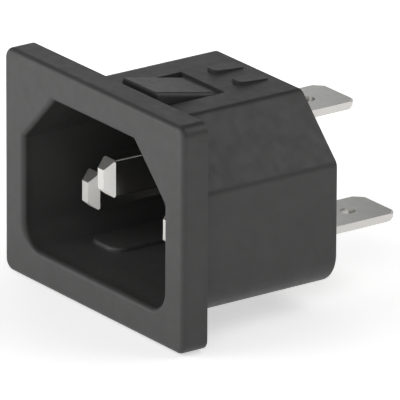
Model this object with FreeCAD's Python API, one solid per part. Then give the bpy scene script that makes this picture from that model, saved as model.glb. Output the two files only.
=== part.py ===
"""C14 panel inlet socket: a snap-in housing with three flat pins and quick-connect tabs.

Millimetres.  The origin is the centre of the socket mouth on the front plane of the
flange.  +X points right for someone facing the socket, +Y goes into the panel, +Z up.
"""
import FreeCAD
import Part

import math
import os

from FreeCAD import Vector

# Flange: the visible frame that lies on the front of the panel.
FLANGE_WIDTH = 31.0
FLANGE_HEIGHT = 23.8
FLANGE_THICKNESS = 3.0
FLANGE_CORNER_RADIUS = 1.2
FLANGE_EDGE_RADIUS = 0.55

# Socket cavity, with the two top corners cut off so that a plug goes in one way only.
CAVITY_WIDTH = 24.3
CAVITY_HEIGHT = 16.8
CAVITY_TOP_WIDTH = 13.8
CAVITY_SHOULDER_Z = 3.1
CAVITY_DEPTH = 17.0
CAVITY_BOTTOM_RADIUS = 2.4
CAVITY_CORNER_RADIUS = 0.4
MOUTH_RADIUS = 0.55

# Body behind the flange: the cavity outline plus its walls, closed by the rear wall.
WALL = 1.25
TOP_WALL = 1.33
REAR_WALL = 3.4
BODY_EDGE_RADIUS = 1.1
BODY_REAR_RADIUS = 0.2

# Snap tongue in the top wall, hinged at the rear and proud at its free front end.
TONGUE_WIDTH = 6.0
TONGUE_FRONT_Y = 5.55
TONGUE_PROUD = 1.3
TONGUE_DEPTH = 1.7
TONGUE_CREST_RADIUS = 0.2
TONGUE_ROOT_STEP = 0.3
TONGUE_ROOT_THICKNESS = 0.8
TONGUE_EDGE_RADIUS = 0.4
WINDOW_WIDTH = 7.6
WINDOW_FRONT_Y = 4.5
WINDOW_REAR_Y = 13.5

# Fixed catch under the bottom wall, opposite the tongue.
CATCH_WIDTH = 5.7
CATCH_FRONT_Y = 5.9
CATCH_LENGTH = 6.0
CATCH_PROUD = 0.8
CATCH_EDGE_RADIUS = 0.2

# Every ramp on the body ends at the rear in a step this high.
RAMP_REAR_STEP = 0.1

# Low ramps on the rear of the top face, which an insulating boot clips over.
NUB_SPACING = 4.2
NUB_WIDTH = 1.8
NUB_HEIGHT = 0.35
NUB_FRONT_Y = 15.9
NUB_LENGTH = 3.4
NUB_CORNER_RADIUS = 0.6

# Grip pads on the cavity floor, below the line and neutral pins.
PAD_WIDTH = 4.8
PAD_HEIGHT = 0.45
PAD_FRONT_Y = 6.0
PAD_CORNER_RADIUS = 1.4
PAD_EDGE_RADIUS = 0.25

# Contact pins: flat blades with a bevelled tip, the earth pin higher and longer.
PIN_SPACING = 14.0
EARTH_RISE = 4.0
PIN_THICKNESS = 2.0
PIN_HEIGHT = 4.0
PIN_TIP_THICKNESS = 1.0
PIN_TIP_HEIGHT = 2.15
PIN_BEVEL_LENGTH = 1.15
PIN_EDGE_RADIUS = 0.3
POWER_PIN_TIP_Y = 4.0
EARTH_PIN_TIP_Y = 1.0
TAIL_THICKNESS = 1.5
TAIL_HEIGHT = 2.8
RIVET_LENGTH = 0.65
RIVET_OVERLAP = 0.45
RIVET_CORNER_RADIUS = 0.7
RIVET_EDGE_RADIUS = 0.3

# Quick-connect terminals: a leg behind the rear wall, folded to a 6.3 x 0.8 mm tab.
TAB_WIDTH = 6.3
TAB_THICKNESS = 0.8
TAB_TIP_Y = 30.5
TAB_LEVEL = 4.95
TAB_BEVEL = 0.8
TAB_BEVEL_RADIUS = 1.2
TAB_EDGE_CHAMFER = 0.22
TAB_HOLE_DIAMETER = 1.65
TAB_HOLE_FROM_TIP = 4.1
LEG_WIDTH = 4.4
LEG_BELOW_PIN = 2.2
LEG_END_RADIUS = 2.0
FOLD_RADIUS = 0.5
POCKET_DEPTH = 0.5
POCKET_GAP = 0.1

# Worked out from the sizes above.
BODY_LENGTH = CAVITY_DEPTH + REAR_WALL
BODY_TOP_Z = CAVITY_HEIGHT / 2 + TOP_WALL
BODY_BOTTOM_Z = -CAVITY_HEIGHT / 2 - WALL
CAVITY_FLOOR_Z = -CAVITY_HEIGHT / 2
PIN_Z = EARTH_RISE / 2
LEG_FRONT_Y = BODY_LENGTH - POCKET_DEPTH
LEG_REAR_Y = LEG_FRONT_Y + TAB_THICKNESS
TAB_TOP_Z = TAB_LEVEL + TAB_THICKNESS / 2
TOUCH = 0.001


def rounded_face(points, radii):
    """Flat face through the corner points, each corner rounded by its own radius."""
    count = len(points)
    starts, middles, ends = [], [], []
    for i, corner in enumerate(points):
        back = (points[i - 1] - corner).normalize()
        onward = (points[(i + 1) % count] - corner).normalize()
        half_angle = back.getAngle(onward) / 2
        setback = radii[i] / math.tan(half_angle)
        bisector = (back + onward).normalize()
        starts.append(corner + back * setback)
        middles.append(corner + bisector * (radii[i] / math.sin(half_angle) - radii[i]))
        ends.append(corner + onward * setback)
    edges = []
    for i in range(count):
        if radii[i] > 0:
            edges.append(Part.Arc(starts[i], middles[i], ends[i]).toShape())
        edges.append(Part.LineSegment(ends[i], starts[(i + 1) % count]).toShape())
    return Part.Face(Part.Wire(edges))


def depth_prism(outline, radii, front_y, rear_y):
    """Prism along Y from an outline of (x, z) corners."""
    points = [Vector(x, front_y, z) for x, z in outline]
    return rounded_face(points, radii).extrude(Vector(0, rear_y - front_y, 0))


def cross_prism(outline, radii, width):
    """Prism along X, centred on X = 0, from an outline of (y, z) corners."""
    points = [Vector(-width / 2, y, z) for y, z in outline]
    return rounded_face(points, radii).extrude(Vector(width, 0, 0))


def upright_prism(outline, radii, low_z, high_z):
    """Prism along Z from an outline of (x, y) corners."""
    points = [Vector(x, y, low_z) for x, y in outline]
    return rounded_face(points, radii).extrude(Vector(0, 0, high_z - low_z))


def centred_box(width, height, front_y, rear_y):
    """Box along Y, centred on the Y axis."""
    corner = Vector(-width / 2, front_y, -height / 2)
    return Part.makeBox(width, rear_y - front_y, height, corner)


def moved(shape, x=0.0, y=0.0, z=0.0):
    """Copy of a shape, moved."""
    return shape.translated(Vector(x, y, z))


def upside_down(shape):
    """Copy of a shape, mirrored top to bottom."""
    return shape.mirror(Vector(0, 0, 0), Vector(0, 0, 1))


def edges_where(shape, test):
    """Edges of a shape whose bounding box passes the test."""
    return [edge for edge in shape.Edges if test(edge.BoundBox)]


def socket_outline(wall, top_wall):
    """Six (x, z) corners of the cavity grown by a wall, with a wall of its own at the top."""
    side = CAVITY_WIDTH / 2 + wall
    top = CAVITY_HEIGHT / 2 + top_wall
    bottom = -CAVITY_HEIGHT / 2 - wall
    cut_width = (CAVITY_WIDTH - CAVITY_TOP_WIDTH) / 2
    cut_angle = math.atan2(CAVITY_HEIGHT / 2 - CAVITY_SHOULDER_Z, cut_width)
    top_half = CAVITY_TOP_WIDTH / 2 + (wall - top_wall * math.cos(cut_angle)) / math.sin(cut_angle)
    shoulder = CAVITY_SHOULDER_Z + wall * math.tan((math.pi / 2 - cut_angle) / 2)
    right = [(side, bottom), (side, shoulder), (top_half, top)]
    return right + [(-x, z) for x, z in reversed(right)]


def socket_radii(corner_radius, bottom_radius):
    """Radii of the six corners, in the outline's order."""
    return [bottom_radius] + 4 * [corner_radius] + [bottom_radius]


def flange():
    """Frame with rounded corners and a softened front edge."""
    x, z = FLANGE_WIDTH / 2, FLANGE_HEIGHT / 2
    outline = [(-x, -z), (x, -z), (x, z), (-x, z)]
    plate = depth_prism(outline, 4 * [FLANGE_CORNER_RADIUS], 0, FLANGE_THICKNESS)
    return plate.makeFillet(FLANGE_EDGE_RADIUS, edges_where(plate, lambda b: b.YMax < TOUCH))


def body():
    """Solid block behind the flange, with its rear edge softened."""
    radii = socket_radii(BODY_EDGE_RADIUS, CAVITY_BOTTOM_RADIUS + WALL)
    block = depth_prism(socket_outline(WALL, TOP_WALL), radii, FLANGE_EDGE_RADIUS, BODY_LENGTH)
    rear = edges_where(block, lambda b: b.YMin > BODY_LENGTH - TOUCH)
    return block.makeFillet(BODY_REAR_RADIUS, rear)


def cavity():
    """Space that the plug enters, open at the front."""
    radii = socket_radii(CAVITY_CORNER_RADIUS, CAVITY_BOTTOM_RADIUS)
    return depth_prism(socket_outline(0, 0), radii, -TOUCH, CAVITY_DEPTH)


def latch_window():
    """Opening in the top wall that frees the snap tongue on three sides."""
    length = WINDOW_REAR_Y - WINDOW_FRONT_Y
    corner = Vector(-WINDOW_WIDTH / 2, WINDOW_FRONT_Y, CAVITY_HEIGHT / 2 - TOUCH)
    return Part.makeBox(WINDOW_WIDTH, length, TOP_WALL + 2 * TOUCH, corner)


def snap_tongue():
    """Springy ramp, a little below the top face at its rear hinge and proud at its free end."""
    hinge_y = WINDOW_REAR_Y + WALL / 2
    root_top = BODY_TOP_Z - TONGUE_ROOT_STEP
    crest_top = BODY_TOP_Z + TONGUE_PROUD
    outline = [
        (TONGUE_FRONT_Y, crest_top),
        (WINDOW_REAR_Y, root_top),
        (hinge_y, root_top),
        (hinge_y, root_top - TONGUE_ROOT_THICKNESS),
        (WINDOW_REAR_Y, root_top - TONGUE_ROOT_THICKNESS),
        (TONGUE_FRONT_Y, crest_top - TONGUE_DEPTH),
    ]
    radii = [TONGUE_CREST_RADIUS] + 5 * [0]
    tongue = cross_prism(outline, radii, TONGUE_WIDTH)

    def is_upper_side_edge(bound):
        runs_back = bound.XLength < TOUCH and bound.YLength > TOUCH
        return runs_back and bound.ZMin > root_top - TOUCH and bound.YMin < WINDOW_REAR_Y - TOUCH

    return tongue.makeFillet(TONGUE_EDGE_RADIUS, edges_where(tongue, is_upper_side_edge))


def ramp(width, height, front_y, length, base_z):
    """Ramp on a face at base_z: steep at the front, sloping down to a small step at the rear."""
    rear_y = front_y + length
    sunk_z = base_z - WALL / 2
    outline = [
        (front_y, sunk_z),
        (front_y, base_z + height),
        (rear_y, base_z + RAMP_REAR_STEP),
        (rear_y, sunk_z),
    ]
    return cross_prism(outline, 4 * [0], width)


def boot_nubs():
    """Pair of small ramps near the rear edge of the top face, with rounded front corners."""
    nub = ramp(NUB_WIDTH, NUB_HEIGHT, NUB_FRONT_Y, NUB_LENGTH, BODY_TOP_Z)

    def is_front_corner(bound):
        return bound.YMax < NUB_FRONT_Y + TOUCH and bound.XLength < TOUCH

    nub = nub.makeFillet(NUB_CORNER_RADIUS, edges_where(nub, is_front_corner))
    return [moved(nub, x=side * NUB_SPACING / 2) for side in (-1, 1)]


def bottom_catch():
    """Fixed ramp under the body that hooks behind the panel's lower edge."""
    catch = ramp(CATCH_WIDTH, CATCH_PROUD, CATCH_FRONT_Y, CATCH_LENGTH, -BODY_BOTTOM_Z)
    hook = edges_where(catch, lambda b: b.ZMax > CATCH_PROUD - BODY_BOTTOM_Z - TOUCH)
    return upside_down(catch.makeFillet(CATCH_EDGE_RADIUS, hook))


def grip_pad():
    """Low pad on the cavity floor with a rounded front end."""
    x = PAD_WIDTH / 2
    outline = [(-x, PAD_FRONT_Y), (x, PAD_FRONT_Y), (x, CAVITY_DEPTH), (-x, CAVITY_DEPTH)]
    low_z = CAVITY_FLOOR_Z - WALL / 2
    high_z = CAVITY_FLOOR_Z + PAD_HEIGHT
    pad = upright_prism(outline, 2 * [PAD_CORNER_RADIUS] + 2 * [0], low_z, high_z)

    def is_top_edge(bound):
        return bound.ZMin > high_z - TOUCH and bound.YMin < CAVITY_DEPTH - TOUCH

    return pad.makeFillet(PAD_EDGE_RADIUS, edges_where(pad, is_top_edge))


def terminal_pocket():
    """Shallow seat in the rear face that stops the earth terminal from turning."""
    low_z = PIN_Z - LEG_BELOW_PIN - POCKET_GAP
    high_z = TAB_TOP_Z + POCKET_GAP
    x = LEG_WIDTH / 2 + POCKET_GAP
    outline = [(-x, low_z), (x, low_z), (x, high_z), (-x, high_z)]
    radii = 2 * [LEG_END_RADIUS + POCKET_GAP] + 2 * [0]
    return depth_prism(outline, radii, LEG_FRONT_Y, BODY_LENGTH + TOUCH)


def tail_slot():
    """Slot through the rear wall for the tail of a pin."""
    return centred_box(TAIL_THICKNESS, TAIL_HEIGHT, CAVITY_DEPTH - TOUCH, LEG_FRONT_Y + TOUCH)


def contact_places():
    """Contact name, its X, and whether its terminal is the earth one."""
    half = PIN_SPACING / 2
    return [("line", -half, False), ("neutral", half, False), ("earth", 0.0, True)]


def housing():
    """One moulding: flange, body, cavity, snap tongue, catch, pads and contact seats."""
    shell = flange().fuse(body())
    shell = shell.cut(cavity())

    def is_mouth_edge(bound):
        on_front = bound.YMax < TOUCH
        inside = max(bound.XMax, -bound.XMin) < CAVITY_WIDTH / 2 + TOUCH
        return on_front and inside

    shell = shell.makeFillet(MOUTH_RADIUS, edges_where(shell, is_mouth_edge))
    shell = shell.cut(latch_window())
    pads = [moved(grip_pad(), x=side * PIN_SPACING / 2) for side in (-1, 1)]
    shell = shell.fuse([snap_tongue(), bottom_catch()] + boot_nubs() + pads)
    pocket = terminal_pocket()
    cuts = []
    for _, x, is_earth in contact_places():
        seat = pocket if is_earth else upside_down(pocket)
        slot = moved(tail_slot(), z=PIN_Z if is_earth else -PIN_Z)
        cuts += [moved(seat, x=x), moved(slot, x=x)]
    return shell.cut(cuts).removeSplitter()


def bevelled_envelope(tip_y):
    """Four-sided wedge around the blade that gives the pin its blunt bevelled tip."""
    rings = []
    grown_length = CAVITY_DEPTH - tip_y
    slope_x = (PIN_THICKNESS - PIN_TIP_THICKNESS) / PIN_BEVEL_LENGTH
    slope_z = (PIN_HEIGHT - PIN_TIP_HEIGHT) / PIN_BEVEL_LENGTH
    for y, grown in ((tip_y, 0), (tip_y + grown_length, grown_length)):
        x = (PIN_TIP_THICKNESS + slope_x * grown) / 2
        z = (PIN_TIP_HEIGHT + slope_z * grown) / 2
        corners = [(-x, -z), (x, -z), (x, z), (-x, z), (-x, -z)]
        rings.append(Part.makePolygon([Vector(cx, y, cz) for cx, cz in corners]))
    return Part.makeLoft(rings, True, True)


def rounded_bar(width, height, radius, front_y, rear_y):
    """Bar along the Y axis with rounded long edges."""
    x, z = width / 2, height / 2
    return depth_prism([(-x, -z), (x, -z), (x, z), (-x, z)], 4 * [radius], front_y, rear_y)


def pin(tip_y):
    """Pin on the Y axis: bevelled blade, tail through the wall and peened head."""
    blade = rounded_bar(PIN_THICKNESS, PIN_HEIGHT, PIN_EDGE_RADIUS, tip_y, CAVITY_DEPTH)
    blade = blade.common(bevelled_envelope(tip_y))
    tail = centred_box(TAIL_THICKNESS, TAIL_HEIGHT, CAVITY_DEPTH - TOUCH, LEG_REAR_Y + TOUCH)
    head_width = TAIL_THICKNESS + 2 * RIVET_OVERLAP
    head_height = TAIL_HEIGHT + 2 * RIVET_OVERLAP
    head_end = LEG_REAR_Y + RIVET_LENGTH
    head = rounded_bar(head_width, head_height, RIVET_CORNER_RADIUS, LEG_REAR_Y, head_end)
    head = head.makeFillet(RIVET_EDGE_RADIUS, edges_where(head, lambda b: b.YMin > head_end - TOUCH))
    return blade.fuse([tail, head]).removeSplitter()


def tab_blade():
    """Flat tab with shoulders, softened bevels, thinned lead-in and detent hole."""
    half, leg_half = TAB_WIDTH / 2, LEG_WIDTH / 2
    bend_end = LEG_FRONT_Y + FOLD_RADIUS + TAB_THICKNESS
    widest_y = bend_end + half - leg_half
    right = [
        (leg_half, bend_end),
        (half, widest_y),
        (half, TAB_TIP_Y - TAB_BEVEL),
        (half - TAB_BEVEL, TAB_TIP_Y),
    ]
    left = [(-x, y) for x, y in reversed(right)]
    blade = upright_prism(right + left, 8 * [0], TAB_TOP_Z - TAB_THICKNESS, TAB_TOP_Z)
    lead_in = edges_where(blade, lambda b: b.YMin > TAB_TIP_Y - TAB_BEVEL - TOUCH and b.ZLength < TOUCH)
    blade = blade.makeChamfer(TAB_EDGE_CHAMFER, lead_in)
    radii = 2 * [0] + 4 * [TAB_BEVEL_RADIUS] + 2 * [0]
    blade = blade.common(upright_prism(right + left, radii, TAB_TOP_Z - TAB_THICKNESS, TAB_TOP_Z))
    hole_centre = Vector(0, TAB_TIP_Y - TAB_HOLE_FROM_TIP, TAB_LEVEL - TAB_THICKNESS)
    return blade.cut(Part.makeCylinder(TAB_HOLE_DIAMETER / 2, 2 * TAB_THICKNESS, hole_centre))


def earth_terminal():
    """Earth terminal at X = 0: slotted leg, fold and tab above the pin."""
    leg_low_z = PIN_Z - LEG_BELOW_PIN
    bend_end = LEG_FRONT_Y + FOLD_RADIUS + TAB_THICKNESS
    outline = [
        (LEG_FRONT_Y, leg_low_z),
        (LEG_FRONT_Y, TAB_TOP_Z),
        (bend_end + TOUCH, TAB_TOP_Z),
        (bend_end + TOUCH, TAB_TOP_Z - TAB_THICKNESS),
        (LEG_REAR_Y, TAB_TOP_Z - TAB_THICKNESS),
        (LEG_REAR_Y, leg_low_z),
    ]
    radii = [0, FOLD_RADIUS + TAB_THICKNESS, 0, 0, FOLD_RADIUS, 0]
    strip = cross_prism(outline, radii, LEG_WIDTH)

    def is_leg_corner(bound):
        return bound.ZMax < leg_low_z + TOUCH and bound.YLength > TOUCH

    strip = strip.makeFillet(LEG_END_RADIUS, edges_where(strip, is_leg_corner))
    slot = centred_box(TAIL_THICKNESS, TAIL_HEIGHT, LEG_FRONT_Y - TOUCH, LEG_REAR_Y + TOUCH)
    return strip.fuse(tab_blade()).cut(moved(slot, z=PIN_Z)).removeSplitter()


def build_nodes():
    """Every piece of the socket by its node name."""
    terminal = earth_terminal()
    nodes = {"housing": housing()}
    for name, x, is_earth in contact_places():
        blade = pin(EARTH_PIN_TIP_Y if is_earth else POWER_PIN_TIP_Y)
        nodes[name + "_pin"] = moved(blade, x=x, z=PIN_Z if is_earth else -PIN_Z)
        nodes[name + "_tab"] = moved(terminal if is_earth else upside_down(terminal), x=x)
    return nodes


def main():
    os.makedirs("parts", exist_ok=True)
    for name, shape in build_nodes().items():
        solid = shape.Solids[0]
        print(name, "solids", len(shape.Solids), "valid", solid.isValid(), "mm3", round(solid.Volume, 2))
        solid.exportStep("parts/" + name + ".step")


main()
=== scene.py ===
"""Looks of the C14 panel inlet socket: moulded black plastic, plated pins and tabs.

Everything is in metres in the part's own frame: the origin is the centre of the socket
mouth, +X right for someone facing the socket, +Y into the panel, +Z up.
"""
import math

import bpy
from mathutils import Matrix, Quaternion, Vector


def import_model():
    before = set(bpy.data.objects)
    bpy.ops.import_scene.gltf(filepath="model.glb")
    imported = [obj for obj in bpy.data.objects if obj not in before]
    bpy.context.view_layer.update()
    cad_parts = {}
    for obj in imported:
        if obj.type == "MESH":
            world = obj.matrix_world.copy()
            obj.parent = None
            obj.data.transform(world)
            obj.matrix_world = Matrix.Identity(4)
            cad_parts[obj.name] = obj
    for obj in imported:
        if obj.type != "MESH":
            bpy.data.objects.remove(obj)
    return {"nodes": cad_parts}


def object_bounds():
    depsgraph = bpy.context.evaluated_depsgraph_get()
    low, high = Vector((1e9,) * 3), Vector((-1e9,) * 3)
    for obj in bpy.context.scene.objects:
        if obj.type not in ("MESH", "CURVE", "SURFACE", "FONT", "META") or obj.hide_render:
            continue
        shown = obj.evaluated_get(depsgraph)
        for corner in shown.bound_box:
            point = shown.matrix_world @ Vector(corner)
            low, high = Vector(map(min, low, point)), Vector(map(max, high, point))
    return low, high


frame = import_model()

MM = 0.001
CAD_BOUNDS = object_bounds()
CONTACTS = ("line", "neutral", "earth")

# Directions in the part's frame.
RIGHT, LEFT = (1, 0, 0), (-1, 0, 0)
FRONT, REAR = (0, -1, 0), (0, 1, 0)
UP = (0, 0, 1)

# Camera: a long lens above and to the right of the socket, tipped by a fraction of a degree.
CAMERA_AZIMUTH = math.radians(54.28)
CAMERA_ELEVATION = math.radians(19.95)
CAMERA_ROLL = math.radians(0.27)
CAMERA_TARGET = Vector((7.19, 8.0, 0.48)) * MM
CAMERA_DISTANCE = 890 * MM
CAMERA_LENS = 807.1
CAMERA_NEAR, CAMERA_FAR = 0.01, 10

# Floor: pale, with a glow that only the camera and mirrors see, weaker under the socket as
# painted shade.
FLOOR_DROP = 0.2 * MM
FLOOR_SIZE = 6.0
FLOOR_COLOUR = (0.82, 0.82, 0.82, 1)
FLOOR_ROUGHNESS = 0.9
FLOOR_GLOW_CENTRE = Vector((2, 9, -12)) * MM
FLOOR_GLOW_START = 14 * MM
FLOOR_GLOW_END = 45 * MM
FLOOR_GLOW_NEAR_PAINTED_SHADE, FLOOR_GLOW_FAR = 0.56, 0.80

# Surround: white low down, fading between two heights of the unit direction into a weak glow.
BAND_LEVEL = 0.8
BAND_FADE = (0.10, 0.34)
GLOW_AZIMUTH = math.radians(-50)
GLOW_LEVEL = 0.08

# Lamps: name, azimuth and elevation in degrees, power in watts.
LAMP_DISTANCE = 0.3
LAMP_SIZE = 0.2
LAMPS = (
    ("key", -30, 10, 0.385),
    ("top", -15, 40, 0.16),
    ("right", 45, 30, 0.18),
    ("back", 150, 45, 0.27),
    ("rear_left", -110, 20, 0.07),
)

# Values of a noise texture that count as its darkest and lightest.
NOISE_RANGE = (0.3, 0.7)
WIDE_NOISE_RANGE = (0.2, 0.8)
NOISE_ROUGHNESS = 0.55

# Housing plastic.
PLASTIC_DARK = (0.035, 0.035, 0.034, 1)
PLASTIC_LIGHT = (0.043, 0.043, 0.042, 1)
# Lighter plastic inside the socket is painted light, standing in for light the cavity lacks.
PLASTIC_PAINTED_CAVITY_LIGHT = (0.054, 0.054, 0.053, 1)
PLASTIC_ROUGHNESS = (0.44, 0.54)
PLASTIC_MOTTLE_SIZE = 2.6 * MM
PLASTIC_PATCH_SIZE = 1.1 * MM
GRAIN_SIZE = 0.11 * MM
GRAIN_HEIGHT = 0.004 * MM
GRAIN_STRENGTH = 0.5

# Bounds of the painted light inside the cavity, just outside its walls: half sizes, X plus Z at
# the cut corners, and depths.
CAVITY_HALF_WIDTH = 12.7 * MM
CAVITY_HALF_HEIGHT = 8.9 * MM
CAVITY_CORNER_SUM = 16.1 * MM
CAVITY_FADE = (0.3 * MM, 1.5 * MM)
CAVITY_DEPTH = 17.2 * MM

# Draws a texture out along Y, the way pins and tabs are drawn and rolled.
LENGTHWISE = (1, 0.05, 1)

# Pins.
PIN_DARK = (0.50, 0.49, 0.47, 1)
PIN_LIGHT = (0.60, 0.59, 0.56, 1)
# Near-white tip bevels are a painted highlight; the front face is held at about the plating's
# colour.
PIN_BEVELS_PAINTED_HIGHLIGHT = (0.97, 0.96, 0.93, 1)
PIN_FRONT = (0.62, 0.61, 0.59, 1)
PIN_LINE_SIZE = 0.25 * MM
PIN_LINE_HEIGHT = 0.002 * MM
PIN_LINE_STRENGTH = 0.3
PIN_POLISH_SIZE = 0.6 * MM
PIN_POLISH = (0.20, 0.24)
PIN_DULL_SIZE = 0.2 * MM
PIN_DULL = (0.55, 0.68)
PIN_UPPER_BEVEL = (0, -0.627, 0.779)
PIN_UPPER_BEVEL_ROUGHNESS = 0.38

# How far a pin's surface has to face a direction to count, from not at all to fully.
PIN_UPWARD_FACING = (0.45, 0.65)
PIN_BEVEL_FACING = (0.12, 0.30)
PIN_UPPER_BEVEL_FACING = (0.90, 0.97)
PIN_FRONT_FACING = (0.90, 0.98)

# Tabs.
TAB_DARK = (0.63, 0.63, 0.60, 1)
TAB_LIGHT = (0.75, 0.75, 0.72, 1)
TAB_CUT_EDGE = (0.56, 0.546, 0.521, 1)
TAB_MOTTLE_SIZE = 0.9 * MM
TAB_LINE_SIZE = 0.15 * MM
TAB_MOTTLE_SHARE, TAB_LINE_SHARE = 0.6, 0.4
TAB_ROUGHNESS = (0.29, 0.34)
TAB_TIP_START_Y = 29 * MM
CUT_EDGE_FACING = (0.6, 0.8)


# ---------------------------------------------------------------- node helpers

class Tree:
    """A node tree with short calls for adding and linking nodes."""

    def __init__(self, tree):
        self.nodes = tree.nodes
        self.links = tree.links

    def add(self, kind, **settings):
        """Adds a node and sets its properties."""
        node = self.nodes.new(kind)
        for key, value in settings.items():
            setattr(node, key, value)
        return node

    def feed(self, socket, value):
        """Links an output to a socket, or sets the socket to a constant."""
        if isinstance(value, bpy.types.NodeSocket):
            self.links.new(value, socket)
        else:
            socket.default_value = value

    def spread(self, value, low, high, out_low=0, out_high=1):
        """Maps a value from one range to another, clamped."""
        node = self.add("ShaderNodeMapRange")
        for socket, number in zip(node.inputs[1:5], (low, high, out_low, out_high)):
            socket.default_value = number
        self.feed(node.inputs["Value"], value)
        return node.outputs["Result"]

    def maths(self, operation, a, b=0.0):
        """One step of arithmetic on values or outputs."""
        node = self.add("ShaderNodeMath", operation=operation)
        self.feed(node.inputs[0], a)
        self.feed(node.inputs[1], b)
        return node.outputs[0]

    def split(self, vector):
        """The X, Y and Z of a vector."""
        node = self.add("ShaderNodeSeparateXYZ")
        self.feed(node.inputs[0], vector)
        return [node.outputs[axis] for axis in "XYZ"]


class Shader(Tree):
    """A material's node tree, with textures in the part's own metres."""

    def __init__(self, name):
        self.material = bpy.data.materials.new(name)
        self.material.use_nodes = True
        super().__init__(self.material.node_tree)
        self.surface = self.nodes["Principled BSDF"]
        self.output = self.nodes["Material Output"]
        self.place = self.add("ShaderNodeTexCoord").outputs["Object"]

    def stretched(self, scale):
        """Object position, stretched by a factor for each axis."""
        mapping = self.add("ShaderNodeMapping")
        self.feed(mapping.inputs["Vector"], self.place)
        mapping.inputs["Scale"].default_value = scale
        return mapping.outputs["Vector"]

    def noise(self, size, detail=4.0, place=None):
        """Noise whose blobs are about `size` metres across."""
        node = self.add("ShaderNodeTexNoise")
        self.feed(node.inputs["Vector"], place or self.place)
        node.inputs["Scale"].default_value = 1 / size
        node.inputs["Detail"].default_value = detail
        node.inputs["Roughness"].default_value = NOISE_ROUGHNESS
        return node.outputs["Fac"]

    def cells(self, size):
        """Distance to the centre of random cells about `size` metres across."""
        node = self.add("ShaderNodeTexVoronoi")
        self.feed(node.inputs["Vector"], self.place)
        node.inputs["Scale"].default_value = 1 / size
        return node.outputs["Distance"]

    def facing(self, direction, low, high):
        """How far the surface faces a direction: 0 below `low`, 1 above `high`."""
        node = self.add("ShaderNodeVectorMath", operation="DOT_PRODUCT")
        self.feed(node.inputs[0], self.add("ShaderNodeNewGeometry").outputs["True Normal"])
        node.inputs[1].default_value = direction
        return self.spread(node.outputs["Value"], low, high)

    def blend(self, factor, a, b):
        """Mix of two colours."""
        node = self.add("ShaderNodeMix", data_type="RGBA")
        self.feed(node.inputs["Factor"], factor)
        self.feed(node.inputs["A"], a)
        self.feed(node.inputs["B"], b)
        return node.outputs["Result"]

    def bump(self, height, distance, strength):
        """Surface relief from a height between 0 and 1."""
        node = self.add("ShaderNodeBump")
        node.inputs["Distance"].default_value = distance
        node.inputs["Strength"].default_value = strength
        self.feed(node.inputs["Height"], height)
        return node.outputs["Normal"]

    def finish(self, **inputs):
        """Feeds the surface's inputs, named with _ for a space, and returns the material."""
        for name, value in inputs.items():
            self.feed(self.surface.inputs[name.replace("_", " ")], value)
        return self.material


# ---------------------------------------------------------------- materials

def plastic_material():
    """Black thermoplastic with a fine spark-eroded grain and faint flow mottling, and lighter
    plastic painted inside the socket as light.
    """
    shader = Shader("housing_plastic")
    mottle = shader.noise(PLASTIC_MOTTLE_SIZE, detail=3.0)
    outside = shader.blend(shader.spread(mottle, *NOISE_RANGE), PLASTIC_DARK, PLASTIC_LIGHT)
    # Painted light: the walls inside the socket get the lighter colour.
    colour = shader.blend(painted_cavity_light_mask(shader), outside, PLASTIC_PAINTED_CAVITY_LIGHT)
    patches = shader.noise(PLASTIC_PATCH_SIZE, detail=5.0)
    roughness = shader.spread(patches, *NOISE_RANGE, *PLASTIC_ROUGHNESS)
    normal = shader.bump(shader.cells(GRAIN_SIZE), GRAIN_HEIGHT, GRAIN_STRENGTH)
    return shader.finish(Base_Color=colour, Roughness=roughness, Normal=normal)


def painted_cavity_light_mask(shader):
    """1 on the walls inside the socket, where lighter plastic is painted in as light, 0 on the
    outside of the housing.
    """
    x, y, z = shader.split(shader.place)
    across = shader.maths("ABSOLUTE", x)
    upright = shader.maths("ABSOLUTE", z)
    tests = (
        shader.maths("LESS_THAN", across, CAVITY_HALF_WIDTH),
        shader.maths("LESS_THAN", upright, CAVITY_HALF_HEIGHT),
        shader.maths("LESS_THAN", shader.maths("ADD", across, z), CAVITY_CORNER_SUM),
        shader.maths("LESS_THAN", y, CAVITY_DEPTH),
    )
    mask = shader.spread(y, *CAVITY_FADE)
    for test in tests:
        mask = shader.maths("MULTIPLY", mask, test)
    return mask


def pin_material():
    """Nickel plate over drawn brass: polished blades with draw lines, dull bevels at the tip
    with a painted highlight in their colour.
    """
    shader = Shader("pin_plating")
    lines = shader.noise(PIN_LINE_SIZE, detail=6.0, place=shader.stretched(LENGTHWISE))
    blade = shader.blend(shader.spread(lines, *NOISE_RANGE), PIN_DARK, PIN_LIGHT)
    upward = shader.facing(UP, *PIN_UPWARD_FACING)
    bevels = shader.maths("SUBTRACT", shader.facing(FRONT, *PIN_BEVEL_FACING), upward)
    bevels = shader.maths("MAXIMUM", bevels, 0.0)
    upper_bevel = shader.facing(PIN_UPPER_BEVEL, *PIN_UPPER_BEVEL_FACING)
    front = shader.facing(FRONT, *PIN_FRONT_FACING)
    polish = shader.spread(shader.noise(PIN_POLISH_SIZE), *WIDE_NOISE_RANGE, *PIN_POLISH)
    dull = shader.spread(shader.noise(PIN_DULL_SIZE), *NOISE_RANGE, *PIN_DULL)
    on_bevels = shader.maths("MULTIPLY", bevels, dull)
    on_upper_bevel = shader.maths("MULTIPLY", upper_bevel, PIN_UPPER_BEVEL_ROUGHNESS)
    roughness = shader.maths("MAXIMUM", polish, on_bevels)
    roughness = shader.maths("MAXIMUM", roughness, on_upper_bevel)
    normal = shader.bump(lines, PIN_LINE_HEIGHT, PIN_LINE_STRENGTH)
    # Painted highlight: the tip bevels are coloured near white, the front face set back to about
    # the plating's colour.
    colour = shader.blend(bevels, blade, PIN_BEVELS_PAINTED_HIGHLIGHT)
    colour = shader.blend(front, colour, PIN_FRONT)
    return shader.finish(Base_Color=colour, Metallic=1.0, Roughness=roughness, Normal=normal)


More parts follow.
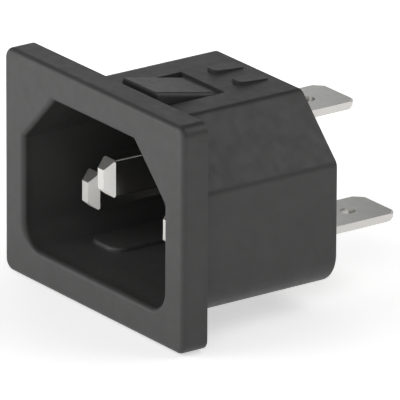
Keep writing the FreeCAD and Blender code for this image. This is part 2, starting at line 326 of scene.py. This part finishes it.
def tab_material():
    """Tin plate with faint rolling lines, and darker bare metal on the cut edges."""
    shader = Shader("tab_plating")
    mottle = shader.noise(TAB_MOTTLE_SIZE, detail=3.0)
    lines = shader.noise(TAB_LINE_SIZE, place=shader.stretched(LENGTHWISE))
    tint = shader.maths(
        "ADD",
        shader.spread(mottle, *NOISE_RANGE, 0, TAB_MOTTLE_SHARE),
        shader.spread(lines, *NOISE_RANGE, 0, TAB_LINE_SHARE),
    )
    face = shader.blend(tint, TAB_DARK, TAB_LIGHT)
    roughness = shader.spread(mottle, *WIDE_NOISE_RANGE, *TAB_ROUGHNESS)
    colour = shader.blend(cut_edge_mask(shader), face, TAB_CUT_EDGE)
    return shader.finish(Base_Color=colour, Metallic=1.0, Roughness=roughness)


def cut_edge_mask(shader):
    """1 on both long edges of a tab and on its tip, 0 on the faces of the sheet."""
    depth = shader.split(shader.place)[1]
    at_tip = shader.maths("GREATER_THAN", depth, TAB_TIP_START_Y)
    tip = shader.maths("MULTIPLY", shader.facing(REAR, *CUT_EDGE_FACING), at_tip)
    right = shader.facing(RIGHT, *CUT_EDGE_FACING)
    left = shader.facing(LEFT, *CUT_EDGE_FACING)
    return shader.maths("MAXIMUM", shader.maths("MAXIMUM", right, left), tip)


def dress(node, material):
    """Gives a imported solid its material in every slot."""
    for slot in frame["nodes"][node].material_slots:
        slot.material = material


def dress_all():
    """Dresses the housing, the three pins and the three tabs."""
    dress("housing", plastic_material())
    pin_plating, tab_plating = pin_material(), tab_material()
    for contact in CONTACTS:
        dress(contact + "_pin", pin_plating)
        dress(contact + "_tab", tab_plating)


# ---------------------------------------------------------------- stage and light

def outward(azimuth, elevation):
    """Unit vector from the socket; azimuth 0 is straight out of the mouth, 90 to its right."""
    flat = math.cos(elevation)
    return Vector((math.sin(azimuth) * flat, -math.cos(azimuth) * flat, math.sin(elevation)))


def floor():
    """Pale sheet just below the socket."""
    half = FLOOR_SIZE / 2
    level = CAD_BOUNDS[0].z - FLOOR_DROP
    corners = [
        (-half, -half, level),
        (half, -half, level),
        (half, half, level),
        (-half, half, level),
    ]
    mesh = bpy.data.meshes.new("floor")
    mesh.from_pydata(corners, [], [(0, 1, 2, 3)])
    stage = bpy.data.objects.new("floor", mesh)
    bpy.context.scene.collection.objects.link(stage)
    stage.data.materials.append(floor_material())


def floor_material():
    """Matt near-white that keeps the shadow, with the glow on top for camera and mirrors, dimmed
    near the socket as painted shade.
    """
    shader = Shader("floor_white")
    shader.finish(Base_Color=FLOOR_COLOUR, Roughness=FLOOR_ROUGHNESS)
    rays = shader.add("ShaderNodeLightPath")
    seen = shader.maths("MAXIMUM", rays.outputs["Is Camera Ray"], rays.outputs["Is Glossy Ray"])
    seen = shader.maths("MAXIMUM", seen, rays.outputs["Is Transmission Ray"])
    away = shader.add("ShaderNodeVectorMath", operation="DISTANCE")
    shader.feed(away.inputs[0], shader.place)
    away.inputs[1].default_value = FLOOR_GLOW_CENTRE
    # The glow is weaker near the socket: painted shade on the floor around it, also seen in
    # reflections.
    glow = shader.spread(
        away.outputs["Value"], FLOOR_GLOW_START, FLOOR_GLOW_END, FLOOR_GLOW_NEAR_PAINTED_SHADE, FLOOR_GLOW_FAR
    )
    lift = shader.add("ShaderNodeEmission")
    shader.feed(lift.inputs["Strength"], shader.maths("MULTIPLY", seen, glow))
    both = shader.add("ShaderNodeAddShader")
    shader.feed(both.inputs[0], shader.surface.outputs["BSDF"])
    shader.feed(both.inputs[1], lift.outputs["Emission"])
    shader.feed(shader.output.inputs["Surface"], both.outputs["Shader"])
    return shader.material


def world():
    """Studio surround: white low down, dark above with a soft glow towards the front left."""
    studio = bpy.data.worlds.new("studio")
    studio.use_nodes = True
    sky = Tree(studio.node_tree)
    direction = sky.add("ShaderNodeTexCoord").outputs["Generated"]
    height = sky.split(direction)[2]
    above = sky.spread(height, *BAND_FADE)
    towards = sky.add("ShaderNodeVectorMath", operation="DOT_PRODUCT")
    sky.feed(towards.inputs[0], direction)
    towards.inputs[1].default_value = outward(GLOW_AZIMUTH, 0)
    glow = sky.spread(towards.outputs["Value"], -1, 1, 0, GLOW_LEVEL)
    band = sky.spread(height, *BAND_FADE, BAND_LEVEL, 0)
    level = sky.maths("ADD", band, sky.maths("MULTIPLY", above, glow))
    sky.feed(sky.nodes["Background"].inputs["Color"], level)
    bpy.context.scene.world = studio


def soft_light(name, azimuth, elevation, power):
    """Square area light aimed at the socket, placed by its direction from it."""
    lamp = bpy.data.lights.new(name, "AREA")
    lamp.shape = "SQUARE"
    lamp.size = LAMP_SIZE
    lamp.energy = power
    light = bpy.data.objects.new(name, lamp)
    away = outward(math.radians(azimuth), math.radians(elevation))
    light.location = CAMERA_TARGET + away * LAMP_DISTANCE
    light.rotation_mode = "QUATERNION"
    light.rotation_quaternion = away.to_track_quat("Z", "Y")
    bpy.context.scene.collection.objects.link(light)


def lights():
    """All the lamps round the socket."""
    for lamp in LAMPS:
        soft_light(*lamp)


def camera():
    """The view of the photograph."""
    lens = bpy.data.cameras.new("camera")
    lens.lens = CAMERA_LENS
    lens.clip_start, lens.clip_end = CAMERA_NEAR, CAMERA_FAR
    view = bpy.data.objects.new("camera", lens)
    back = outward(CAMERA_AZIMUTH, CAMERA_ELEVATION)
    view.location = CAMERA_TARGET + back * CAMERA_DISTANCE
    view.rotation_mode = "QUATERNION"
    view.rotation_quaternion = back.to_track_quat("Z", "Y") @ Quaternion((0, 0, 1), CAMERA_ROLL)
    bpy.context.scene.collection.objects.link(view)
    bpy.context.scene.camera = view


dress_all()
floor()
world()
lights()
camera()
bpy.context.scene.view_settings.view_transform = "Standard"
